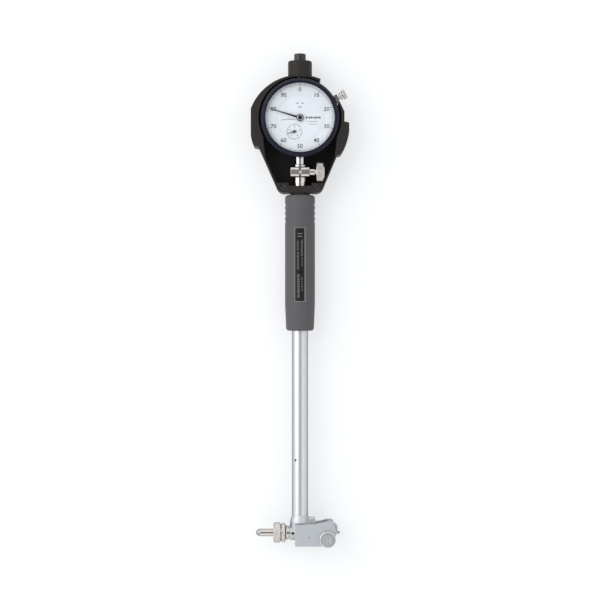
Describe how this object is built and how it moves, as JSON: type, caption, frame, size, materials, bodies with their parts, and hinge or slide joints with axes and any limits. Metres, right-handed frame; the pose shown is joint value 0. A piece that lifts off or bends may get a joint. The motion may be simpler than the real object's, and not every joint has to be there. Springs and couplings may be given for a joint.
{
  "type": "dial bore gauge",
  "caption": "Two-point bore gauge: sliding contact with centring guide and fixed anvil on a steel stem, grip, and a dial indicator in a protective cover.",
  "frame": {"origin": "middle of the gauge's length and width, on the surface it lies on", "axes": "+Y along the stem from the measuring head to the dial, +X along the measuring axis towards the moving contact, +Z out of the dial; the gauge lies on its back"},
  "size_m": [0.072, 0.3621, 0.027],
  "materials": {
    "satin_steel": "satin chrome on steel",
    "bright_steel": "bright chrome",
    "ground_steel": "ground and chromed",
    "hard_steel": "hardened and ground",
    "spring_steel": "oiled spring wire",
    "black_steel": "blackened",
    "nickel_plate": "nickel plated",
    "carbide": "polished hard metal",
    "brass": "turned",
    "grip_plastic": "fine matt",
    "label_black": "satin black, light border",
    "black_paint": "fine texture black on cast aluminium",
    "black_case": "satin black",
    "navy_bezel": "gloss blue-black",
    "crystal": "clear",
    "dial_white": "matt white print ground",
    "pointer_black": "black",
    "cap_plastic": "gloss black"
  },
  "bodies": {
    "frame": {"head_body": "satin_steel", "guide_stop": "bright_steel", "crank_pin": "hard_steel", "contact_bush": "brass", "anvil_socket": "nickel_plate", "set_screw": "black_steel", "spacing_washer": "nickel_plate", "anvil": "nickel_plate", "anvil_tip": "carbide", "stem_tube": "ground_steel", "push_rod_guides": "brass", "push_rod_spring": "spring_steel", "grip": "grip_plastic", "label_plate": "label_black", "indicator_holder": "nickel_plate", "cover": "black_paint", "base_block": "black_paint", "cover_screws": "black_steel", "indicator_case": "black_case", "case_back": "black_case", "case_back_screws": "black_steel", "indicator_stem": "hard_steel", "top_bush": "hard_steel", "dial_centre": "dial_white", "movement_plate": "brass", "movement_pillars": "brass", "movement_bridge": "brass", "rack_pinion_cock": "brass", "spindle_guide": "brass", "hairspring": "spring_steel", "bezel_clamp": "nickel_plate", "guide_springs": "spring_steel"},
    "contact": {"contact_rod": "hard_steel", "contact_ball": "carbide"},
    "crank": {"bell_crank": "hard_steel"},
    "push_rod": {"push_rod": "hard_steel"},
    "spindle": {"spindle": "hard_steel", "spindle_contact_point": "carbide", "spindle_cap": "cap_plastic", "spindle_guide_pin": "hard_steel"},
    "counter": {"counter_pointer": "pointer_black", "counter_wheel": "brass", "rack_pinion": "hard_steel"},
    "pointer": {"main_pointer": "pointer_black", "centre_pinion": "hard_steel"},
    "take_up": {"take_up_wheel": "brass"},
    "guide": {"guide_shoe": "satin_steel", "guide_stop_pin": "hard_steel", "roller_pivot_front": "bright_steel", "roller_pivot_rear": "bright_steel"},
    "front_roller": {"roller_front": "bright_steel"},
    "rear_roller": {"roller_rear": "bright_steel"},
    "lock_nut": {"anvil_lock_nut": "nickel_plate"},
    "clamp_screw": {"stem_clamp_screw": "nickel_plate"},
    "bezel": {"bezel": "navy_bezel", "crystal": "crystal", "crystal_ring": "navy_bezel", "dial_ring": "dial_white"},
    "bezel_screw": {"bezel_clamp_screw": "nickel_plate"}
  },
  "joints": [
    {"name": "contact_slide", "type": "slide", "parent": "frame", "child": "contact", "axis": [-1, 0, 0], "range_m": [0, 0.0016], "stiffness_N_per_m": 300, "springref_m": -0.002, "deforming": ["push_rod_spring"]},
    {"name": "crank_turn", "type": "hinge", "parent": "frame", "child": "crank", "pos_m": [0.005, -0.16605, 0.0135], "axis": [0, 0, -1], "range_deg": [0, 18.34]},
    {"name": "push_rod_slide", "type": "slide", "parent": "frame", "child": "push_rod", "axis": [0, 1, 0], "range_m": [0, 0.0016]},
    {"name": "spindle_slide", "type": "slide", "parent": "frame", "child": "spindle", "axis": [0, 1, 0], "range_m": [0, 0.0016]},
    {"name": "counter_turn", "type": "hinge", "parent": "frame", "child": "counter", "pos_m": [-0.004, 0.12325, 0.0213], "axis": [0, 0, 1], "range_deg": [0, 57.6]},
    {"name": "pointer_turn", "type": "hinge", "parent": "frame", "child": "pointer", "pos_m": [0, 0.13325, 0.0221], "axis": [0, 0, -1], "range_deg": [0, 576]},
    {"name": "take_up_turn", "type": "hinge", "parent": "frame", "child": "take_up", "pos_m": [0.00234, 0.13969, 0.018], "axis": [0, 0, 1], "range_deg": [0, 96]},
    {"name": "guide_slide", "type": "slide", "parent": "frame", "child": "guide", "axis": [-1, 0, 0], "range_m": [0, 0.003], "stiffness_N_per_m": 500, "springref_m": -0.003, "deforming": ["guide_springs"]},
    {"name": "front_roller_turn", "type": "hinge", "parent": "guide", "child": "front_roller", "pos_m": [0.02035, -0.17505, 0.0233], "axis": [0, 0, 1], "continuous": true},
    {"name": "rear_roller_turn", "type": "hinge", "parent": "guide", "child": "rear_roller", "pos_m": [0.02035, -0.17505, 0.0037], "axis": [0, 0, 1], "continuous": true},
    {"name": "lock_nut_turn", "type": "hinge", "parent": "frame", "child": "lock_nut", "pos_m": [-0.013, -0.17105, 0.0135], "axis": [1, 0, 0], "continuous": true},
    {"name": "clamp_screw_turn", "type": "hinge", "parent": "frame", "child": "clamp_screw", "pos_m": [0.01, 0.09375, 0.0197], "axis": [1, 0, 0], "continuous": true},
    {"name": "bezel_turn", "type": "hinge", "parent": "frame", "child": "bezel", "pos_m": [0, 0.13325, 0.0215], "axis": [0, 0, 1], "continuous": true},
    {"name": "bezel_screw_turn", "type": "hinge", "parent": "frame", "child": "bezel_screw", "pos_m": [0.02914, 0.14874, 0.02075], "axis": [0.8829, 0.4695, 0], "continuous": true}
  ],
  "couplings": [
    {"joint": "crank_turn", "follows": "contact_slide", "rad_per_m": 200},
    {"joint": "push_rod_slide", "follows": "contact_slide", "ratio": 1},
    {"joint": "spindle_slide", "follows": "contact_slide", "ratio": 1},
    {"joint": "counter_turn", "follows": "contact_slide", "rad_per_m": 628.32},
    {"joint": "pointer_turn", "follows": "contact_slide", "rad_per_m": 6283.2},
    {"joint": "take_up_turn", "follows": "contact_slide", "rad_per_m": 1047.2}
  ]
}
